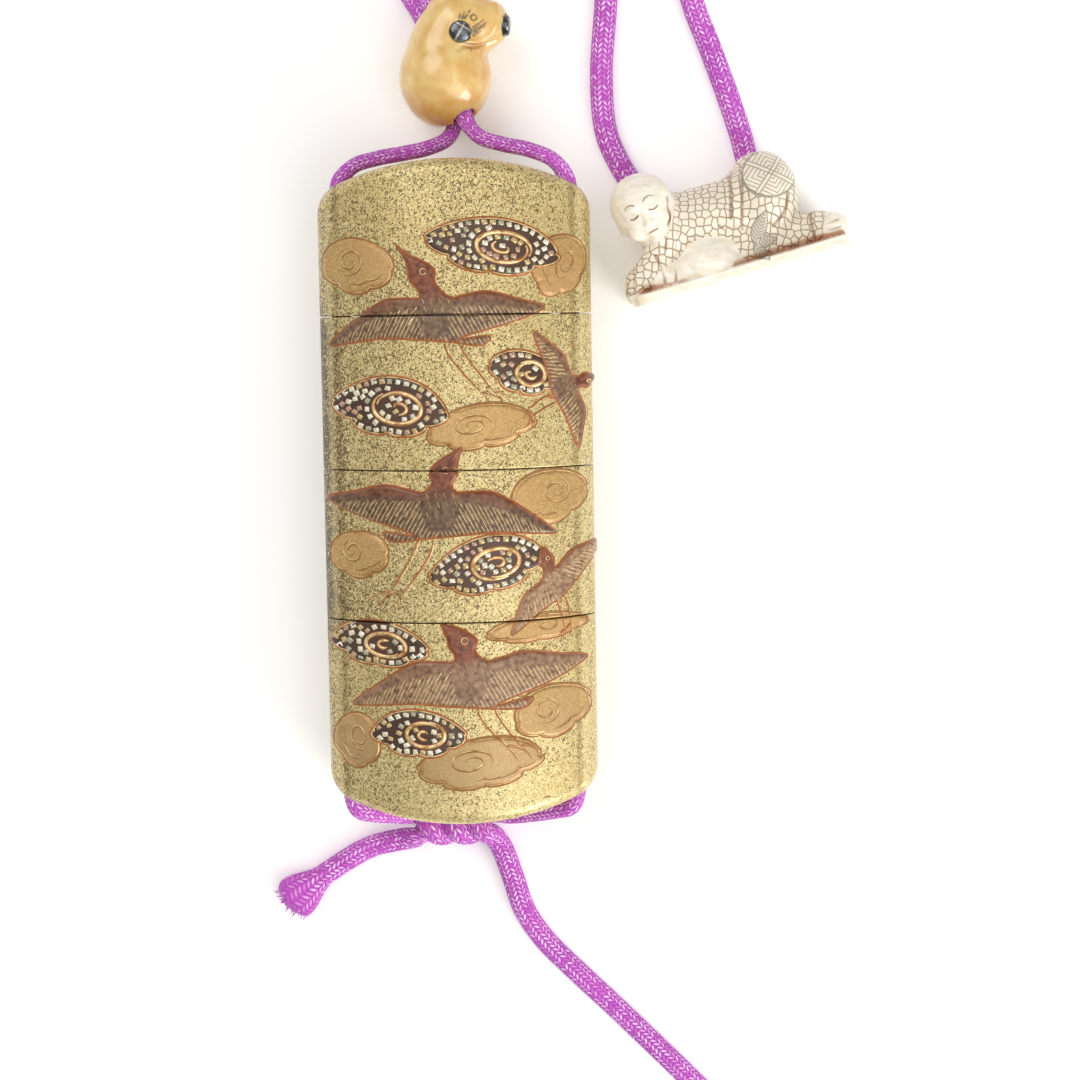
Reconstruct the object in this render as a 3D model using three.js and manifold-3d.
// Inro case with its cord, bead and toggle, lying on its back and seen from above.
// Millimetres, +Z up. The case runs along Y with its lid towards +Y, and its back rests on Z = 0.
// The origin is the middle of the small flat on the case's back.
import * as THREE from "three";
import { mergeVertices } from "three/addons/utils/BufferGeometryUtils.js";
import Module from "manifold-3d";

const wasm = await Module();
wasm.setup();

// Driving dimensions of the case
const inroWidth = 38;
const inroHeight = 91.7;
const inroThickness = 21;
const lidHeight = 21.2;
const case1Height = 21.2;
const case2Height = 21; // the lowest case takes the rest of the height
const seamGap = 0.15;
const runnerRadius = 4.5; // the rounded column along each side that holds the cord
const creaseAngle = 66; // degrees round the column where the curved panels start
const topRise = 3.05; // how far the top edge climbs from the creases to the middle
const bottomRise = 2.5;
const topCornerDrop = 1.3;
const bottomCornerDrop = 2;
const cornerReach = 3.5; // width of the extra rounding at each corner
const edgeFillet = 1.6;
const restFlatWidth = 8;

// Driving dimensions of the compartments
const skinThickness = 1.2;
const riserThickness = 0.9;
const riserHeight = 4;
const riserClearance = 0.15;
const floorThickness = 1.4;
const lidTopThickness = 2;
const channelInset = 3; // from the case's side to the middle of the cord channel
const channelWall = 0.9; // between a cord channel and the socket beside it
const compartmentCorner = 1.6;
const mouthFlare = 0.9; // how much wider than the channel its mouth opens

// Relief on the panels
const reliefHeight = 0.35;

// Cord, bead and toggle
const cordDiameter = 2.8;
const cordClearance = 0.35;
const knotTurnRadius = 1.7;
const knotLength = 10.6;
const beadLength = 19.5;
const beadGap = 5.05; // from the case's top edge to the bead
const beadAside = -0.9;
const beadCell = 1.9;
const inlayRadius = 1.45;
const inlayDepth = 0.9;
const inlayDome = 0.35;
const inlayClearance = 0.1;
const toggleLength = 33;
const toggleTilt = 15.6; // degrees from +X
const togglePlace = [26.8, 25.7, 0];
const toggleCell = 1.65;
const toggleRelief = 0.35;
const toggleBaseThickness = 1.5;

// Values that follow from them
const halfWidth = inroWidth / 2;
const halfThickness = inroThickness / 2;
const halfHeight = inroHeight / 2;
const runnerX = halfWidth - runnerRadius;
const creaseX = runnerX + runnerRadius * Math.cos(THREE.MathUtils.degToRad(creaseAngle));
const creaseZ = runnerRadius * Math.sin(THREE.MathUtils.degToRad(creaseAngle));
const panelRadius = (creaseX ** 2 + (halfThickness - creaseZ) ** 2) / (2 * (halfThickness - creaseZ));
const panelCentre = panelRadius - halfThickness;
const restSag = panelRadius - Math.sqrt(panelRadius ** 2 - (restFlatWidth / 2) ** 2);
const middleZ = halfThickness - restSag;
const channelX = halfWidth - channelInset;
const cordRadius = cordDiameter / 2;
const channelRadius = cordRadius + cordClearance;
const socketHalfWidth = channelX - channelRadius - channelWall;
const riserInset = skinThickness + riserClearance;
const cavityInset = riserInset + riserThickness;
const beyond = inroWidth + inroThickness; // longer than any cut needs

// Solids and meshes

function solidOf(geometry) {
  const bare = geometry.clone();
  bare.deleteAttribute("normal");
  bare.deleteAttribute("uv");
  const merged = mergeVertices(bare, 1e-4);
  return new wasm.Manifold(
    new wasm.Mesh({
      numProp: 3,
      vertProperties: merged.attributes.position.array,
      triVerts: Uint32Array.from(merged.index.array),
    }),
  );
}

function meshOf(name, solid, material) {
  const { vertProperties, triVerts, numProp } = solid.getMesh();
  const geometry = new THREE.BufferGeometry();
  const count = vertProperties.length / numProp;
  const positions = new Float32Array(count * 3);
  for (let i = 0; i < count; i++) {
    positions.set(vertProperties.subarray(i * numProp, i * numProp + 3), i * 3);
  }
  geometry.setAttribute("position", new THREE.BufferAttribute(positions, 3));
  geometry.setIndex(new THREE.BufferAttribute(Uint32Array.from(triVerts), 1));
  geometry.computeVertexNormals();
  const mesh = new THREE.Mesh(geometry, material);
  mesh.name = name;
  return mesh;
}

function joined(solids) {
  return solids.reduce((sum, solid) => sum.add(solid));
}

function box(x0, x1, y0, y1, z0, z1) {
  const geometry = new THREE.BoxGeometry(x1 - x0, y1 - y0, z1 - z0);
  return solidOf(geometry.translate((x0 + x1) / 2, (y0 + y1) / 2, (z0 + z1) / 2));
}

function closedGeometry(points, faces) {
  const geometry = new THREE.BufferGeometry();
  geometry.setAttribute("position", new THREE.Float32BufferAttribute(points.flat(), 3));
  geometry.setIndex(faces.flat());
  return geometry;
}

// A flat outline made into a prism along Z, from z0 to z1.
function prism(outline, z0, z1) {
  const shape = new THREE.Shape(outline.map(([x, y]) => new THREE.Vector2(x, y)));
  const geometry = new THREE.ExtrudeGeometry(shape, { depth: z1 - z0, bevelEnabled: false });
  return solidOf(geometry.translate(0, 0, z0));
}

// The same along Y, for an outline given in X and Z.
function prismAlongY(outline, y0, y1) {
  const shape = new THREE.Shape(outline.map(([x, z]) => new THREE.Vector2(x, -z)));
  const geometry = new THREE.ExtrudeGeometry(shape, { depth: y1 - y0, bevelEnabled: false });
  return solidOf(geometry.rotateX(-Math.PI / 2).translate(0, y0, 0));
}

// A closed surface where a field is zero, with one vertex in each crossed cell of a grid.
// The field is below zero inside. A corner is moved inside where a cell would split the surface.
const cubeCorners = [...Array(8).keys()].map((c) => [c & 1, (c >> 1) & 1, (c >> 2) & 1]);
const inOnePiece = [...Array(256).keys()].map((mask) => {
  const members = [...Array(8).keys()].filter((c) => mask & (1 << c));
  const reached = new Set(members.slice(0, 1));
  for (const c of reached) {
    for (const bit of [1, 2, 4]) {
      if (mask & (1 << (c ^ bit))) reached.add(c ^ bit);
    }
  }
  return reached.size === members.length;
});

function surfaceOfField(field, low, high, cell) {
  const n = low.map((start, axis) => Math.ceil((high[axis] - start) / cell) + 2);
  const first = low.map((start) => start - cell / 2);
  const stride = [1, n[0], n[0] * n[1]];
  const value = new Float64Array(n[0] * n[1] * n[2]);
  const place = (i, j, k) => i * stride[0] + j * stride[1] + k * stride[2];
  const each = (limit, visit) => {
    for (let k = 0; k < n[2] - limit; k++)
      for (let j = 0; j < n[1] - limit; j++) for (let i = 0; i < n[0] - limit; i++) visit(i, j, k);
  };
  each(0, (i, j, k) => {
    value[place(i, j, k)] = field(first[0] + i * cell, first[1] + j * cell, first[2] + k * cell) || 1e-9;
  });
  const cornerPlaces = cubeCorners.map(([a, b, c]) => place(a, b, c));
  const maskAt = (at) => cornerPlaces.reduce((m, step, c) => (value[at + step] < 0 ? m | (1 << c) : m), 0);
  for (let changed = true; changed; ) {
    changed = false;
    each(1, (i, j, k) => {
      const at = place(i, j, k);
      const mask = maskAt(at);
      if (inOnePiece[mask] && inOnePiece[255 - mask]) return;
      const outside = cornerPlaces.map((step) => at + step).filter((p) => value[p] >= 0);
      const nearest = outside.reduce((a, b) => (value[b] < value[a] ? b : a));
      value[nearest] = -cell / 1000;
      changed = true;
    });
  }
  const points = [];
  const vertexOf = new Map();
  each(1, (i, j, k) => {
    const at = place(i, j, k);
    const mask = maskAt(at);
    if (mask === 0 || mask === 255) return;
    const sum = new THREE.Vector3();
    let crossings = 0;
    for (let c = 0; c < 8; c++) {
      for (const bit of [1, 2, 4]) {
        if (c & bit) continue;
        const a = value[at + cornerPlaces[c]];
        const b = value[at + cornerPlaces[c | bit]];
        if (a < 0 === b < 0) continue;
        const along = a / (a - b);
        const from = new THREE.Vector3(...cubeCorners[c]);
        sum.add(from.lerp(new THREE.Vector3(...cubeCorners[c | bit]), along));
        crossings++;
      }
    }
    sum.divideScalar(crossings);
    vertexOf.set(at, points.length);
    points.push([first[0] + (i + sum.x) * cell, first[1] + (j + sum.y) * cell, first[2] + (k + sum.z) * cell]);
  });
  const faces = [];
  each(1, (i, j, k) => {
    const at = place(i, j, k);
    for (let axis = 0; axis < 3; axis++) {
      const inside = value[at] < 0;
      if (inside === value[at + stride[axis]] < 0) continue;
      const side = stride[(axis + 1) % 3];
      const up = stride[(axis + 2) % 3];
      const quad = [at, at - side, at - side - up, at - up].map((p) => vertexOf.get(p));
      if (!inside) quad.reverse();
      faces.push([quad[0], quad[1], quad[2]], [quad[0], quad[2], quad[3]]);
    }
  });
  return solidOf(closedGeometry(points, faces));
}

// Fields of round forms, as distances that are true near the surface

function ellipsoid([cx, cy, cz], [rx, ry, rz], turn = 0) {
  const cos = Math.cos(THREE.MathUtils.degToRad(turn));
  const sin = Math.sin(THREE.MathUtils.degToRad(turn));
  return (x, y, z) => {
    const dx = (x - cx) * cos + (y - cy) * sin;
    const dy = (y - cy) * cos - (x - cx) * sin;
    const dz = z - cz;
    const scaled = Math.hypot(dx / rx, dy / ry, dz / rz);
    const slope = Math.hypot(dx / rx ** 2, dy / ry ** 2, dz / rz ** 2);
    return slope < 1e-9 ? -Math.min(rx, ry, rz) : (scaled * (scaled - 1)) / slope;
  };
}

function limb([ax, ay, az], [bx, by, bz], ra, rb) {
  const length2 = (bx - ax) ** 2 + (by - ay) ** 2 + (bz - az) ** 2;
  return (x, y, z) => {
    const along = ((x - ax) * (bx - ax) + (y - ay) * (by - ay) + (z - az) * (bz - az)) / length2;
    const t = Math.min(1, Math.max(0, along));
    const off = Math.hypot(x - ax - (bx - ax) * t, y - ay - (by - ay) * t, z - az - (bz - az) * t);
    return off - ra - (rb - ra) * t;
  };
}

function blended(forms, softness) {
  return (x, y, z) =>
    forms.reduce((sum, form) => {
      const next = form(x, y, z);
      const mix = Math.max(softness - Math.abs(sum - next), 0) / softness;
      return Math.min(sum, next) - (mix * mix * softness) / 4;
    }, Infinity);
}

// The case's outer body

// The front half of the cross-section, from the left side to the right, as [x, height above the middle].
function frontOutline(inset) {
  const panel = panelRadius - inset;
  const runner = runnerRadius - inset;
  const apart = Math.hypot(runnerX, panelCentre);
  const along = (panel ** 2 - runner ** 2 + apart ** 2) / (2 * apart);
  const across = Math.sqrt(Math.max(panel ** 2 - along ** 2, 0));
  const x = (along * runnerX - across * panelCentre) / apart;
  const z = (along * panelCentre + across * runnerX) / apart - panelCentre;
  const runnerSpan = Math.atan2(z, x - runnerX);
  const panelSpan = Math.atan2(x, z + panelCentre);
  const runnerSteps = 4;
  const panelSteps = 8;
  const right = [];
  for (let i = panelSteps / 2; i > 0; i--) {
    const angle = (i / (panelSteps / 2)) * panelSpan;
    right.push([panel * Math.sin(angle), panel * Math.cos(angle) - panelCentre]);
  }
  for (let i = 1; i <= runnerSteps; i++) {
    const angle = (1 - i / runnerSteps) * runnerSpan;
    const point = [runnerX + runner * Math.cos(angle), runner * Math.sin(angle)];
    right.splice(panelSteps / 2 + i - 1, 0, point);
  }
  const ordered = [...right.slice(0, panelSteps / 2).reverse(), ...right.slice(panelSteps / 2)];
  const left = ordered.map(([px, pz]) => [-px, pz]).reverse();
  return [...left, [0, panel - panelCentre], ...ordered];
}

// How far the end edge has dropped at a given place across the case.
function endDrop(x, rise, cornerDrop, grow) {
  const arch = (creaseX ** 2 + rise ** 2) / (2 * rise);
  const reached = Math.max(Math.abs(x) - (halfWidth - cornerReach), 0) / (cornerReach + grow);
  const corner = cornerDrop * (1 - Math.sqrt(Math.max(1 - reached ** 2, 0)));
  return arch - Math.sqrt(arch ** 2 - x ** 2) + corner;
}

// The whole body, grown outwards by a little for the relief.
function outerBody(grow) {
  const filletSteps = 3;
  const radius = edgeFillet + grow;
  const rings = [];
  const addRing = (turn, side, rise, cornerDrop) => {
    const inset = radius * (1 - Math.cos(turn)) - grow;
    const half = frontOutline(inset).map(([x, z]) => {
      const end = halfHeight + grow - endDrop(x, rise, cornerDrop, grow);
      return [x, side * (end - radius * (1 - Math.sin(turn))), z];
    });
    const back = half.slice(1, -1).map(([x, y, z]) => [x, y, -z]);
    rings.push([...half, ...back.reverse()]);
  };
  for (let i = filletSteps; i >= 0; i--) addRing((i / filletSteps) * (Math.PI / 2), -1, bottomRise, bottomCornerDrop);
  for (let i = 0; i <= filletSteps; i++) addRing((i / filletSteps) * (Math.PI / 2), 1, topRise, topCornerDrop);
  const size = rings[0].length;
  const faces = [];
  for (let r = 0; r + 1 < rings.length; r++) {
    for (let i = 0; i < size; i++) {
      const a = r * size + i;
      const b = r * size + ((i + 1) % size);
      faces.push([a, b, b + size], [a, b + size, a + size]);
    }
  }
  const half = size / 2;
  const cap = (start, flip) => {
    for (let i = 0; i < half; i++) {
      const front = [start + i, start + i + 1];
      const back = [start + ((size - i) % size), start + size - i - 1];
      const strip = [
        [front[0], back[1], front[1]],
        [front[0], back[0], back[1]],
      ];
      for (const face of strip) {
        if (new Set(face).size === 3) faces.push(flip ? face.reverse() : face);
      }
    }
  };
  cap(0, false);
  cap((rings.length - 1) * size, true);
  return solidOf(closedGeometry(rings.flat(), faces));
}

// Compartments, risers and cord channels

function compartmentOutline(inset, halfSpan) {
  const radius = panelRadius - inset;
  const corner = Math.max(compartmentCorner - inset / 2, 0.2);
  const height = (x) => Math.sqrt(radius ** 2 - x ** 2) - panelCentre;
  const steps = 8;
  const upper = [];
  for (let i = 0; i <= steps; i++) {
    const x = (halfSpan - corner) * ((2 * i) / steps - 1);
    upper.push([x, height(x)]);
  }
  for (let i = 1; i <= 3; i++) {
    const angle = (i / 3) * (Math.PI / 2);
    const x = halfSpan - corner + corner * Math.sin(angle);
    const z = height(halfSpan - corner) - corner * (1 - Math.cos(angle));
    upper.push([x, z]);
    upper.unshift([-x, z]);
  }
  const lower = upper.map(([x, z]) => [x, -z]).reverse();
  return [...upper, ...lower];
}

function sleeve(inset, halfSpan, y0, y1) {
  return prismAlongY(compartmentOutline(inset, halfSpan), y0, y1);
}

const riserHalfWidth = socketHalfWidth - riserClearance;
const cavityHalfWidth = riserHalfWidth - riserThickness;

const topSeat = halfHeight - endDrop(socketHalfWidth, topRise, topCornerDrop, 0);
const bottomSeat = -halfHeight + endDrop(cavityHalfWidth, bottomRise, bottomCornerDrop, 0);

function channels() {
  const bores = [];
  for (const side of [-1, 1]) {
    const bore = new THREE.CylinderGeometry(channelRadius, channelRadius, 2 * beyond + inroHeight, 12);
    bores.push(solidOf(bore.translate(side * channelX, 0, 0)));
    const mouthRadius = channelRadius + mouthFlare;
    for (const [end, rise, drop] of [
      [1, topRise, topCornerDrop],
      [-1, bottomRise, bottomCornerDrop],
    ]) {
      const y = end * (halfHeight - endDrop(channelX, rise, drop, 0) + mouthFlare);
      const mouth = new THREE.SphereGeometry(mouthRadius, 10, 6);
      bores.push(solidOf(mouth.translate(side * channelX, y, 0)));
    }
  }
  return joined(bores);
}

// Relief outlines, placed by shares of the case's half width and half height

const onPanel = ([x, y]) => [x * halfWidth, y * halfHeight];

// A cloud's edge: an oval with drawn-out ends and round scallops.
function cloudOutline({ at, half, tilt = 0, scallops = 7, ends = 1.15, perScallop = 3 }) {
  const [cx, cy] = onPanel(at);
  const turn = THREE.MathUtils.degToRad(tilt);
  const points = [];
  for (let i = 0; i < scallops * perScallop; i++) {
    const angle = (i / (scallops * perScallop)) * 2 * Math.PI;
    const bulge = 0.87 + 0.13 * Math.abs(Math.sin((scallops * angle) / 2));
    const x = half[0] * halfWidth * bulge * Math.cos(angle);
    const up = Math.sin(angle);
    const y = half[1] * halfHeight * bulge * Math.sign(up) * Math.abs(up) ** ends;
    points.push([cx + x * Math.cos(turn) - y * Math.sin(turn), cy + x * Math.sin(turn) + y * Math.cos(turn)]);
  }
  return points;
}

// A crane in flight, seen from above, as shares of half its wing span.
function craneOutline({ at, span, droop, head, beak, tail, turn = 0 }) {
  const [cx, cy] = onPanel(at);
  const half = span * halfWidth;
  const reach = Math.hypot(head[0], head[1]);
  const side = [head[1] / reach, -head[0] / reach];
  const beside = (share, width) => [head[0] * share + side[0] * width, head[1] * share + side[1] * width];
  const wing = [
    [0.25, 0.12],
    [0.48, 0.15],
    [0.75, 0.08],
    [1, 0],
    [0.82, -0.07],
    [0.62, -0.13],
    [0.44, -0.18],
    [0.26, -0.2],
  ];
  const bent = ([x, y], lean) => [x, y + lean * x * x];
  const leftWing = wing.map(([x, y]) => bent([-x, y], droop[0]));
  const rightWing = wing.map(([x, y]) => bent([x, y], droop[1])).reverse();
  const outline = [
    [0.12, 0.11],
    beside(0.55, 0.06),
    beside(0.85, 0.07),
    beside(1.05, 0.06),
    beak,
    beside(1.05, -0.06),
    beside(0.85, -0.07),
    beside(0.55, -0.06),
    [-0.12, 0.11],
    ...leftWing,
    [-0.1 + tail[0] * 0.25, -0.24],
    [tail[0] - 0.07, tail[1] + 0.03],
    [tail[0] + 0.07, tail[1] + 0.05],
    [0.1 + tail[0] * 0.25, -0.24],
    ...rightWing,
  ];
  const angle = THREE.MathUtils.degToRad(turn);
  return outline.map(([x, y]) => [
    cx + half * (x * Math.cos(angle) - y * Math.sin(angle)),
    cy + half * (x * Math.sin(angle) + y * Math.cos(angle)),
  ]);
}

const shellClouds = [
  { at: [0.284, 0.739], half: [0.505, 0.087], tilt: -8, ends: 1.5 },
  { at: [0.495, 0.364], half: [0.274, 0.068], tilt: -14, ends: 1.4 },
  { at: [-0.479, 0.268], half: [0.453, 0.092], tilt: -6, ends: 1.4 },
  { at: [0.205, -0.208], half: [0.453, 0.087], tilt: 11, ends: 1.4 },
  { at: [-0.6, -0.448], half: [0.384, 0.07], tilt: -6, ends: 1.2 },
  { at: [-0.321, -0.718], half: [0.363, 0.074], tilt: -2, ends: 1.3 },
];
const goldClouds = [
  { at: [-0.7, 0.689], half: [0.285, 0.087], tilt: -8, scallops: 6 },
  { at: [0.76, 0.683], half: [0.2, 0.103], tilt: -25, scallops: 6 },
  { at: [0.179, 0.205], half: [0.421, 0.07], tilt: 8, scallops: 8 },
  { at: [0.66, -0.009], half: [0.3, 0.087], tilt: 12, scallops: 6 },
  { at: [-0.73, -0.177], half: [0.235, 0.076], tilt: 0, scallops: 6 },
  { at: [0.56, -0.406], half: [0.4, 0.044], tilt: 5, scallops: 8 },
  { at: [0.66, -0.663], half: [0.31, 0.086], tilt: 14, scallops: 6 },
  { at: [-0.78, -0.748], half: [0.19, 0.09], tilt: 8, scallops: 5 },
  { at: [0.132, -0.81], half: [0.484, 0.081], tilt: 6, scallops: 8 },
];
const cranes = [
  { at: [-0.137, 0.558], span: 0.79, droop: [-0.32, 0], head: [-0.23, 0.5], beak: [-0.35, 0.62], tail: [0.42, -0.36] },
  { at: [-0.132, -0.021], span: 0.84, droop: [0.04, -0.29], head: [0.1, 0.38], beak: [0.25, 0.48], tail: [-0.3, -0.3] },
  { at: [0.063, -0.533], span: 0.87, droop: [-0.29, 0.07], head: [-0.12, 0.33], beak: [-0.27, 0.43], tail: [0.4, -0.3] },
  {
    at: [0.82, 0.324],
    span: 0.46,
    droop: [-0.2, -0.25],
    head: [0.05, 0.3],
    beak: [0.05, 0.42],
    tail: [0, -0.34],
    turn: -68,
  },
  {
    at: [0.66, -0.271],
    span: 0.42,
    droop: [-0.2, -0.1],
    head: [0.1, 0.3],
    beak: [0.16, 0.42],
    tail: [-0.1, -0.34],
    turn: 40,
  },
];
// The back is plainer and keeps its middle bare, where the case rests.
const backClouds = [
  { at: [-0.62, 0.642], half: [0.3, 0.082], tilt: 6, scallops: 7 },
  { at: [0.62, 0.129], half: [0.32, 0.077], tilt: -6, scallops: 7 },
  { at: [-0.6, -0.506], half: [0.32, 0.082], tilt: 8, scallops: 7 },
];

// Every raised figure as a prism that stands on the middle plane.
function figures() {
  const front = [...shellClouds.map(cloudOutline), ...goldClouds.map(cloudOutline), ...cranes.map(craneOutline)];
  const raised = front.map((outline) => prism(outline, 0, inroThickness));
  const behind = backClouds.map((cloud) => prism(cloudOutline(cloud), -inroThickness, 0));
  return joined([...raised, ...behind]);
}

const plainBody = outerBody(0);
const raisedFigures = outerBody(reliefHeight).intersect(figures());
const decoratedBody = plainBody.add(raisedFigures);
const cordChannels = channels();
const underRest = box(-beyond, beyond, -beyond - inroHeight, beyond + inroHeight, -beyond, -middleZ);

// One storey of the case between two heights, with its outer skin cut true at the seams.
function storey(bottom, top) {
  const low = bottom === -halfHeight ? -beyond - inroHeight : bottom + seamGap / 2;
  const high = top === halfHeight ? beyond + inroHeight : top - seamGap / 2;
  return decoratedBody.intersect(box(-beyond, beyond, low, high, -beyond, beyond)).subtract(underRest);
}

function lidSolid(bottom) {
  const room = sleeve(skinThickness, socketHalfWidth, bottom - beyond, topSeat - lidTopThickness);
  return storey(bottom, halfHeight).subtract(room).subtract(cordChannels);
}

// A case with a riser above its seam and, unless it is the lowest, a socket below.
function caseSolid(bottom, top) {
  const lowest = bottom === -halfHeight;
  const socketTop = bottom + riserHeight + riserClearance;
  const floorBottom = lowest ? bottomSeat : socketTop;
  const riser = sleeve(riserInset, riserHalfWidth, top - riserHeight, top + riserHeight);
  const cavity = sleeve(cavityInset, cavityHalfWidth, floorBottom + floorThickness, top + beyond);
  let body = storey(bottom, top).add(riser).subtract(cavity);
  if (!lowest) body = body.subtract(sleeve(skinThickness, socketHalfWidth, bottom - beyond, socketTop));
  return body.subtract(cordChannels);
}

// The cord's route, from the cut end on the left, through the knot, case, bead and toggle, and back

const knotMiddle = [-1.6, -49.25, 3.3];

// One strand of the half knot: one and a half turns round an axis along X.
function knotStrand(firstAngle, fromX, toX) {
  const steps = 10;
  const points = [];
  for (let i = 0; i <= steps; i++) {
    const x = fromX + (toX - fromX) * (i / steps);
    const share = (x + knotLength / 2) / knotLength;
    const angle = THREE.MathUtils.degToRad(firstAngle + 540 * share);
    points.push([
      knotMiddle[0] + x,
      knotMiddle[1] + knotTurnRadius * Math.cos(angle),
      knotMiddle[2] + knotTurnRadius * Math.sin(angle),
    ]);
  }
  return points;
}

const cordPoints = [
  // left tail
  [-26.8, -61.2, 1.5],
  [-23.4, -58.6, 1.5],
  [-19.8, -56, 1.5],
  [-14.4, -52.9, 1.5],
  [-10, -51.7, 2.2],
  ...knotStrand(180, -knotLength / 2, knotLength / 2),
  // under the bottom edge to the right channel
  [6.2, -47.6, 4.8],
  [9.4, -47, 6.8],
  [12.6, -46.2, 8.8],
  [15.1, -45.4, 9.9],
  [channelX, -42.8, middleZ],
  [channelX, 41, middleZ],
  // over the top edge to the bead
  [15.7, 43.7, middleZ],
  [14, 46, middleZ],
  [10.7, 47.5, 9.6],
  [7, 48.4, 8.8],
  [3.7, 49.6, 8.1],
  [1.7, 52.2, 7.7],
  [0.2, 58, 7.6],
  [-1.6, 65, 7.1],
  [-3, 70, 5.2],
  // inner arc to the toggle
  [-3.4, 76.5, 1.8],
  [-1.4, 87, 1.5],
  [5, 95.5, 1.5],
  [13.4, 95.8, 1.5],
  [19.8, 88.5, 1.5],
  [22.3, 78, 1.5],
  [22.1, 69, 1.5],
  [21.3, 58.5, 1.5],
  [21.8, 50.7, 1.5],
  [23.3, 46.7, 1.5],
  [25.6, 43, 1.5],
  [28.6, 40.3, 1.9],
  // through the toggle
  [32.4, 38.7, 4.3],
  [36.6, 38.9, 5.1],
  [40, 40.9, 4.6],
  [41.9, 43.8, 2.9],
  [41.7, 47.4, 1.6],
  [39.7, 54.2, 1.5],
  [36.9, 62, 1.5],
  [34.3, 69, 1.5],
  // outer arc back to the bead
  [32.4, 79, 1.5],
  [29.4, 90, 1.5],
  [22.4, 100.5, 1.5],
  [11.2, 105.8, 1.5],
  [0.2, 102.4, 1.5],
  [-6.6, 92.4, 1.5],
  [-8.4, 80.5, 1.5],
  [-6.2, 71.5, 2.4],
  [-3.2, 65, 4.3],
  [-1.2, 58, 4.7],
  [0.3, 52.2, 4.9],
  // over the top edge to the left channel
  [-0.6, 49.6, 6.4],
  [-3.4, 48.1, 8],
  [-6.9, 47.3, 9],
  [-10.6, 46.6, 9.8],
  [-13.8, 45.6, middleZ],
  [-15.7, 43.6, middleZ],
  [-channelX, 41, middleZ],
  [-channelX, -42.8, middleZ],
  // under the bottom edge to the knot
  [-15.2, -45.3, 9.9],
  [-13.3, -46.2, 8.6],
  [-11, -46.8, 6.6],
  [-8.7, -47.4, 4.6],
  ...knotStrand(0, -knotLength / 2, knotLength / 2),
  // right tail
  [5.1, -53.2, 2.4],
  [6.6, -57.6, 1.6],
  [8.3, -62.8, 1.5],
  [11.3, -67.4, 1.5],
  [16, -72.3, 1.5],
  [21.8, -78, 1.5],
  [32.6, -89, 1.5],
  [41.5, -98.4, 1.5],
];

// A round tube with one ring of sides at each of its points.
function tube(points, radius, sides) {
  const route = new THREE.CatmullRomCurve3(points.map((p) => new THREE.Vector3(...p)));
  route.getUtoTmapping = (u) => u;
  const section = new THREE.Shape().absarc(0, 0, radius, 0, 2 * Math.PI);
  const options = { steps: points.length - 1, curveSegments: sides / 2, extrudePath: route, bevelEnabled: false };
  return solidOf(new THREE.ExtrudeGeometry(section, options));
}

// The room that the cord needs through a piece: the stretch of its route inside a given box.
function cordRoom(group, low, high) {
  group.updateMatrixWorld(true);
  const inside = ([x, y]) => x > low[0] && x < high[0] && y > low[1] && y < high[1];
  const runs = [];
  let run = [];
  for (const point of [...cordPoints, [Infinity, Infinity, 0]]) {
    if (inside(point)) run.push(point);
    else {
      if (run.length > 1) runs.push(run);
      run = [];
    }
  }
  const rooms = runs.map((points) => {
    const local = points.map((p) => group.worldToLocal(new THREE.Vector3(...p)).toArray());
    return tube(local, channelRadius, 10);
  });
  return joined(rooms);
}

// The bead: a smooth gourd with a small lobe at its upper right, and two dark domed discs let into it

const beadGroup = new THREE.Group();
beadGroup.position.set(beadAside, halfHeight + beadGap, 0);

const beadShare = (values) => values.map((value) => (value * beadLength) / 100);
const lobe = (centre, radii) => ellipsoid(beadShare(centre), beadShare(radii));
const beadField = blended(
  [
    lobe([0, 36.4, 31], [33.1, 36.4, 31.8]), // the large lobe
    lobe([9.2, 72.3, 31], [26.7, 27.7, 27.7]), // its shoulder
    lobe([31.8, 73.8, 33.8], [14.9, 16.9, 16.4]), // the small lobe
  ],
  beadShare([7.2])[0],
);

// Where a line from inside the bead leaves it.
function beadSurface(from, direction) {
  let near = 0;
  let far = inroThickness;
  for (let i = 0; i < 40; i++) {
    const middle = (near + far) / 2;
    const point = from.map((value, axis) => value + direction[axis] * middle);
    if (beadField(...point) < 0) near = middle;
    else far = middle;
  }
  return from.map((value, axis) => value + direction[axis] * near);
}

// A disc with a low dome, standing on the given point along the given direction.
function domedDisc(place, direction, radius, depth, dome) {
  const profile = [new THREE.Vector2(0, -depth), new THREE.Vector2(radius, -depth)];
  const steps = 3;
  for (let i = 0; i <= steps; i++) {
    const angle = (i / steps) * (Math.PI / 2);
    profile.push(new THREE.Vector2(radius * Math.cos(angle), dome * Math.sin(angle)));
  }
  profile[profile.length - 1].x = 0;
  const disc = new THREE.LatheGeometry(profile, 12);
  const turn = new THREE.Quaternion();
  turn.setFromUnitVectors(new THREE.Vector3(0, 1, 0), new THREE.Vector3(...direction));
  disc.applyQuaternion(turn);
  return solidOf(disc.translate(...place));
}

const inlays = [
  { name: "bead_beetle_inlay", from: beadShare([11.8, 65.6, 31]), direction: [0, 0, 1] },
  { name: "bead_side_inlay", from: beadShare([27.7, 72.3, 35.9]), direction: [0.96, -0.03, 0.28] },
];

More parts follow.
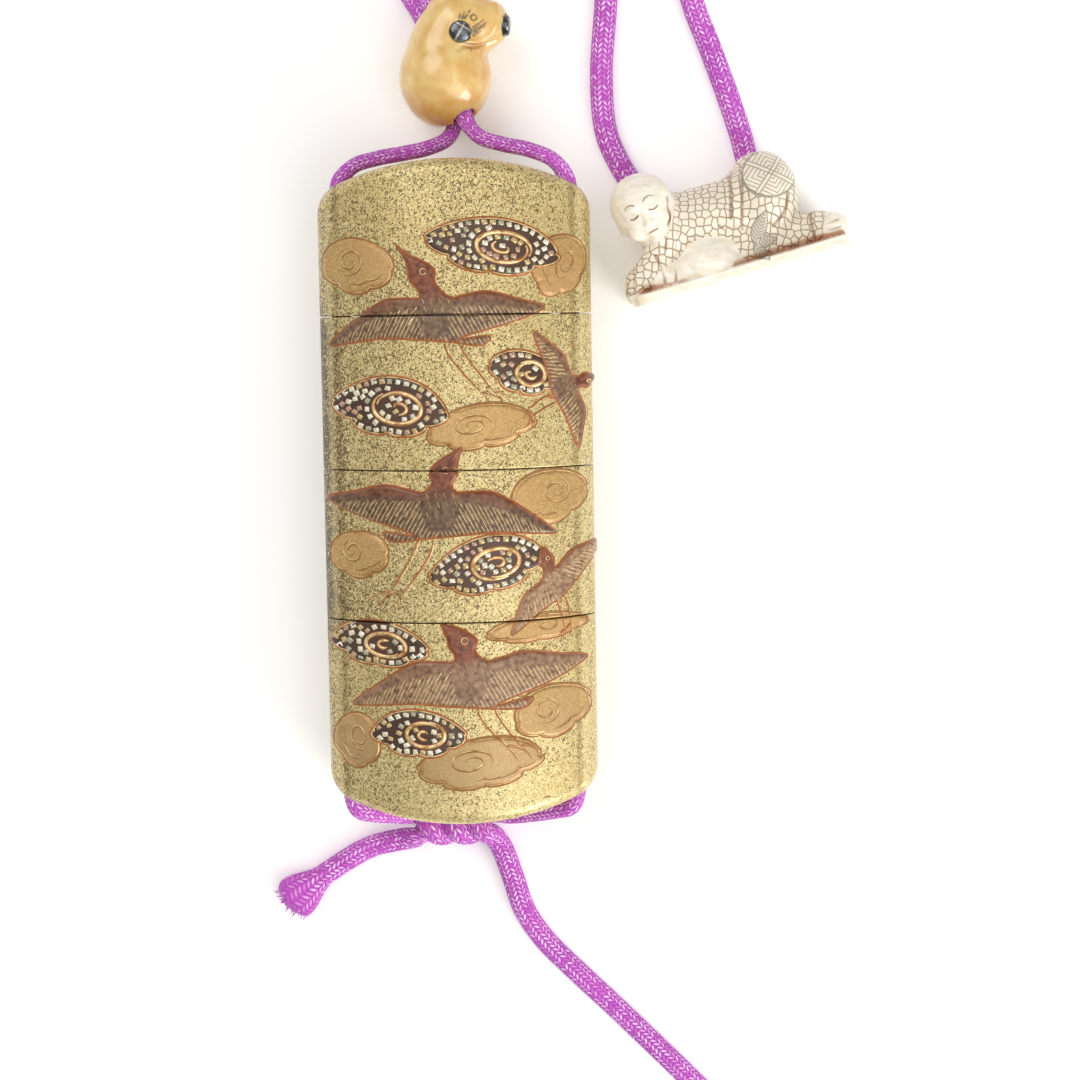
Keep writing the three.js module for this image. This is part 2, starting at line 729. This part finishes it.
function beadSolid() {
  let bead = surfaceOfField(beadField, beadShare([-45, -12, -10]), beadShare([60, 115, 75]), beadCell);
  bead = bead.subtract(box(-beyond, beyond, -beyond, beyond, -beyond, 0));
  bead = bead.subtract(cordRoom(beadGroup, [-12, 48.5], [12, 79]));
  for (const { from, direction } of inlays) {
    const place = beadSurface(from, direction);
    const radius = inlayRadius + inlayClearance;
    bead = bead.subtract(domedDisc(place, direction, radius, inlayDepth + inlayClearance, inlayRadius));
  }
  return bead;
}

function inlaySolid({ from, direction }) {
  return domedDisc(beadSurface(from, direction), direction, inlayRadius, inlayDepth, inlayDome);
}

// The toggle: a robed child crawling on a thin mat, carved from one piece and lying on its far side.
// Its own axes run along the mat, up from the mat and out to the near side.
const toggleGroup = new THREE.Group();
toggleGroup.position.set(...togglePlace);
toggleGroup.rotation.z = THREE.MathUtils.degToRad(toggleTilt);

const shareOf = (values) => values.map((value) => (value * toggleLength) / 100);
const form = (centre, radii, turn) => ellipsoid(shareOf(centre), shareOf(radii), turn);
const bone = (a, b, ra, rb) => limb(shareOf(a), shareOf(b), ...shareOf([ra, rb]));

const toggleFigure = blended(
  [
    form([9.9, 41.5, 26], [13.4, 13, 13.6], 11), // crown of the head
    form([11.3, 34.5, 25.5], [10.6, 12, 12], 11), // cheeks and chin
    form([18.5, 29.5, 20], [9.5, 13, 13.5], 20), // collar
    bone([23, 28.5, 19], [46, 27.5, 19], 13.6, 14.4), // back
    form([61.5, 30.6, 19.2], [15, 18.6, 18.2]), // seat
    bone([62, 24, 21], [49, 11, 23], 10.5, 9.5), // near thigh
    bone([52, 9, 22], [79, 11, 22], 7.2, 7), // near shin
    form([86, 8.4, 22], [7.4, 7, 8.4]), // near foot
    bone([52, 9, 10], [79, 10, 10], 7, 6.5), // far shin
    form([85.5, 7.6, 10], [6.8, 6.4, 7.6]), // far foot
    bone([17, 23, 27], [0, 10, 28.5], 7, 5), // near sleeve
    bone([0, 10, 28.5], [-2.6, 5, 28.5], 5, 4.6), // near cuff
    bone([17, 22, 12], [4, 6.5, 11.5], 6.6, 5.4), // far sleeve
    form([31, 6.5, 26.5], [14.4, 14, 10.8]), // folded robe under the chest
    form([14, 7, 22], [13, 8, 13]), // robe between the arms
  ],
  6 * (toggleLength / 100),
);

const toggleLow = shareOf([-14, -6, -6]);
const toggleHigh = shareOf([100, 60, 46]);

function grownFigure(grow) {
  return surfaceOfField((x, y, z) => toggleFigure(x, y, z) - grow, toggleLow, toggleHigh, toggleCell);
}

// A pointed leaf from its stem to its tip.
function leafOutline([x0, y0], [x1, y1], width) {
  const points = [];
  const steps = 5;
  const long = Math.hypot(x1 - x0, y1 - y0);
  const side = [-(y1 - y0) / long, (x1 - x0) / long];
  for (const way of [-1, 1]) {
    for (let i = 0; i < steps; i++) {
      const share = way < 0 ? i / steps : 1 - i / steps;
      const off = way * width * Math.sin(Math.PI * share);
      points.push([x0 + (x1 - x0) * share + side[0] * off, y0 + (y1 - y0) * share + side[1] * off]);
    }
  }
  return points;
}

function roundOutline([cx, cy], [rx, ry], steps) {
  return [...Array(steps).keys()].map((i) => {
    const angle = (i / steps) * 2 * Math.PI;
    return [cx + rx * Math.cos(angle), cy + ry * Math.sin(angle)];
  });
}

// The crest on the seat and the spray of three leaves, both raised on the near side.
function toggleRaised() {
  const outlines = [
    roundOutline(shareOf([65.5, 38.2]), shareOf([12.2, 10.3]), 20),
    leafOutline(shareOf([50.5, 11.5]), shareOf([59.5, 24]), shareOf([3])[0]),
    leafOutline(shareOf([50.5, 11.5]), shareOf([60.5, 11]), shareOf([2.6])[0]),
    leafOutline(shareOf([50.5, 11.5]), shareOf([55, 3.5]), shareOf([2.6])[0]),
  ];
  return joined(outlines.map((outline) => prism(outline, ...shareOf([20, 50]))));
}

function toggleSolid() {
  const rounded = shareOf([5])[0];
  const [left, right, depth] = shareOf([-4, 90.5, 37.5]);
  const mat = new THREE.Shape();
  mat.moveTo(left + rounded, 0);
  mat.lineTo(right - rounded, 0);
  mat.absarc(right - rounded, rounded, rounded, -Math.PI / 2, 0);
  mat.absarc(right - rounded, depth - rounded, rounded, 0, Math.PI / 2);
  mat.absarc(left + rounded, depth - rounded, rounded, Math.PI / 2, Math.PI);
  mat.absarc(left + rounded, rounded, rounded, Math.PI, 1.5 * Math.PI);
  const slab = new THREE.ExtrudeGeometry(mat, { depth: toggleBaseThickness, curveSegments: 3, bevelEnabled: false });
  slab.rotateX(Math.PI / 2).translate(0, toggleBaseThickness, 0);
  const figure = grownFigure(0).add(grownFigure(toggleRelief).intersect(toggleRaised()));
  const outside = box(-beyond, beyond, -beyond, 0, -beyond, beyond);
  const below = box(-beyond, beyond, -beyond, beyond, -beyond, 0);
  return solidOf(slab)
    .add(figure.subtract(outside))
    .subtract(below)
    .subtract(cordRoom(toggleGroup, [20, 20], [60, 53]));
}

// Finishes

const lacquer = new THREE.MeshStandardMaterial({ color: 0xc7a55c, roughness: 0.42, metalness: 0.25 });
const silk = new THREE.MeshStandardMaterial({ color: 0xb04ab8, roughness: 0.7, metalness: 0 });
const amber = new THREE.MeshStandardMaterial({ color: 0xe0b565, roughness: 0.3, metalness: 0 });
const darkShell = new THREE.MeshStandardMaterial({ color: 0x3a3a3e, roughness: 0.25, metalness: 0.3 });
const ivory = new THREE.MeshStandardMaterial({ color: 0xf1e5c0, roughness: 0.4, metalness: 0 });

// The object

const lidSeam = halfHeight - lidHeight;
const case1Seam = lidSeam - case1Height;
const case2Seam = case1Seam - case2Height;

const inroGroup = new THREE.Group();
inroGroup.position.z = middleZ;
inroGroup.add(meshOf("lid", lidSolid(lidSeam), lacquer));
inroGroup.add(meshOf("case_1", caseSolid(case1Seam, lidSeam), lacquer));
inroGroup.add(meshOf("case_2", caseSolid(case2Seam, case1Seam), lacquer));
inroGroup.add(meshOf("case_3", caseSolid(-halfHeight, case2Seam), lacquer));

beadGroup.add(meshOf("ojime_bead", beadSolid(), amber));
for (const inlay of inlays) beadGroup.add(meshOf(inlay.name, inlaySolid(inlay), darkShell));

toggleGroup.add(meshOf("netsuke", toggleSolid(), ivory));

const ensemble = new THREE.Group();
ensemble.add(inroGroup, beadGroup, toggleGroup);
ensemble.add(meshOf("cord", tube(cordPoints, cordRadius, 8), silk));

export default ensemble;
